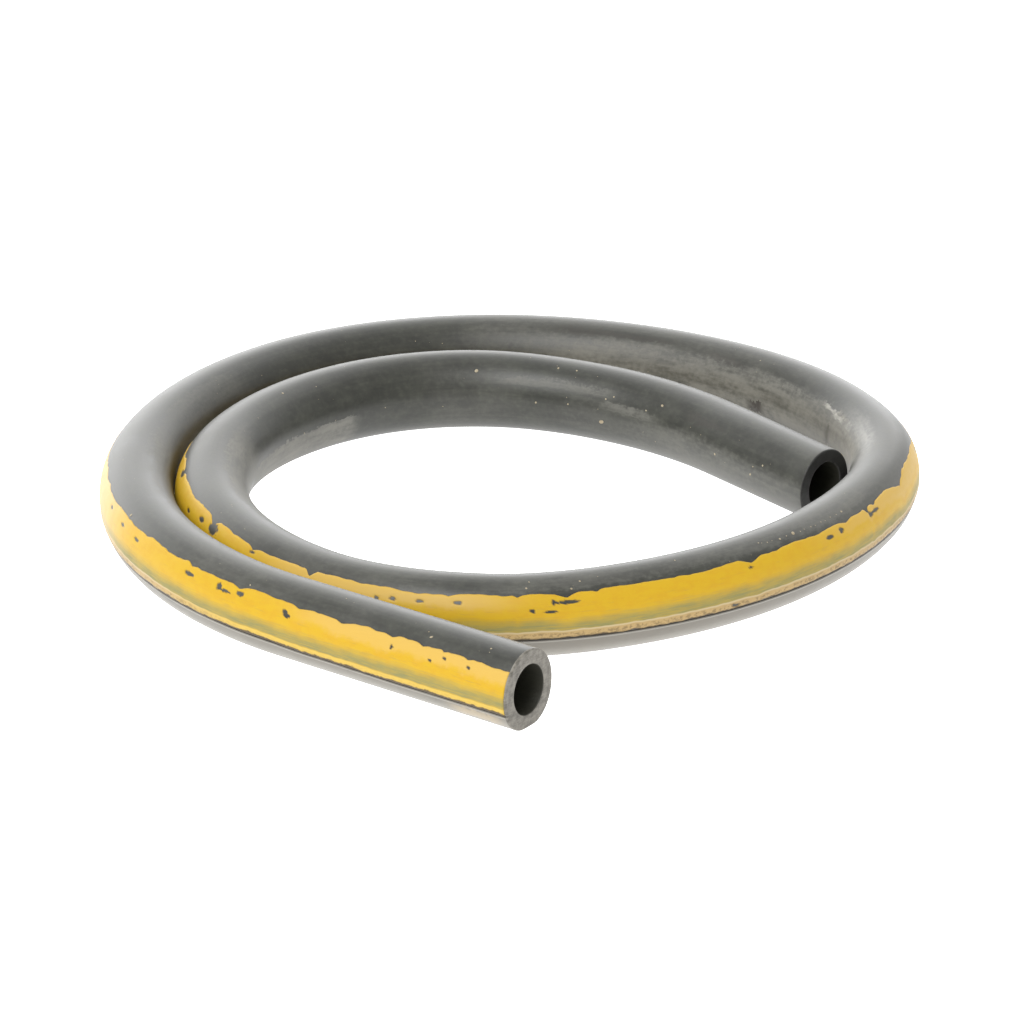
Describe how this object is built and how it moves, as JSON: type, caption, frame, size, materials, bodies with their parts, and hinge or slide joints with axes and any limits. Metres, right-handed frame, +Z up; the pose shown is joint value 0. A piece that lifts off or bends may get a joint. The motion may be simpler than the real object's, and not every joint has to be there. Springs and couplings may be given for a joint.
{
  "type": "rubber hose",
  "caption": "Open-ended length of smooth thick-wall rubber hose with a worn painted stripe, lying flat in a loose spiral coil.",
  "frame": {"origin": "centre of the coil's box, on the plane that the hose lies on", "axes": "+Z up from that plane; +Y away from the side with the outer cut end; +X to the right seen from that side"},
  "size_m": [0.2714, 0.315, 0.0251],
  "materials": {
    "black_rubber": "satin extruded rubber with a dusty bloom",
    "stripe_paint": "worn brushed-on paint film"
  },
  "bodies": {
    "root": {"hose_wall": "black_rubber", "yellow_stripe": "stripe_paint"}
  },
  "joints": []
}
